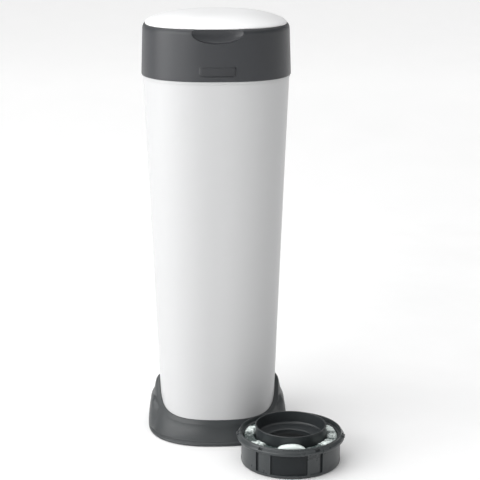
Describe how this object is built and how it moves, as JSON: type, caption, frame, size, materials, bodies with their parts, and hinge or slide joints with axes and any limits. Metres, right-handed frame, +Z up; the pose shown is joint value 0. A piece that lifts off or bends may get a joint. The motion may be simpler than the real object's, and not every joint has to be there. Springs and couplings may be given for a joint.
{
  "type": "nappy bin",
  "caption": "Tapered nappy bin on a flared foot, with a hinged top that holds a film cassette, a domed lid, and a refill cassette standing beside it.",
  "frame": {"origin": "on the floor under the middle of the bin's tube, on the underside of the floor mat", "axes": "+Z up, -Y to the front where the finger scoop is, +X to the right seen from the front"},
  "size_m": [0.2733, 0.333, 0.601],
  "materials": {
    "white_plastic": "satin moulded white",
    "lid_plastic": "gloss white",
    "dark_plastic": "fine-grained dark grey",
    "cassette_plastic": "smooth dark grey",
    "rubber_mat": "matt black",
    "soft_seal": "matt soft elastomer",
    "screw_steel": "zinc-plated",
    "spring_steel": "bright wire",
    "blade_steel": "ground steel",
    "slider_plastic": "orange moulded",
    "film": "thin pleated film, glossy"
  },
  "bodies": {
    "bin": {"floor_mat": "rubber_mat", "base_foot": "dark_plastic", "base_screws": "screw_steel", "body_tube": "white_plastic", "top_collar": "white_plastic", "top_hinge_pin": "screw_steel"},
    "housing": {"top_housing": "dark_plastic", "cassette_tray": "dark_plastic", "tray_screws": "screw_steel", "grip_petals": "soft_seal", "petal_ring": "dark_plastic", "ring_screws": "screw_steel", "cutter_rail": "dark_plastic", "rail_screws": "screw_steel", "button_springs": "spring_steel", "lid_hinge_pin": "screw_steel"},
    "button": {"release_button": "dark_plastic"},
    "cutter": {"cutter_slider": "slider_plastic", "cutter_blade": "blade_steel"},
    "lid": {"lid_cap": "lid_plastic", "lid_liner": "lid_plastic", "lid_seal": "soft_seal", "lid_screws": "screw_steel"},
    "cassette": {"cassette_cup": "cassette_plastic", "cassette_rim": "cassette_plastic", "cassette_mouth": "cassette_plastic", "film_pack": "film", "film_tab": "film"}
  },
  "joints": [
    {"name": "top_hinge", "type": "hinge", "parent": "bin", "child": "housing", "pos_m": [0, 0.1064, 0.515], "axis": [-1, 0, 0], "range_deg": [0, 100]},
    {"name": "lid_hinge", "type": "hinge", "parent": "housing", "child": "lid", "pos_m": [0, 0.1015, 0.5805], "axis": [-1, 0, 0], "range_deg": [0, 100]},
    {"name": "button_press", "type": "slide", "parent": "housing", "child": "button", "axis": [0, 1, 0], "range_m": [0, 0.0035], "stiffness_N_per_m": 400, "springref_m": -0.002, "deforming": ["button_springs"]},
    {"name": "cutter_slide", "type": "slide", "parent": "housing", "child": "cutter", "axis": [1, 0, 0], "range_m": [0, 0.08]},
    {"name": "cassette_lift", "type": "slide", "parent": "bin", "child": "cassette", "axis": [0, 0, 1], "range_m": [0, 0.12]}
  ]
}
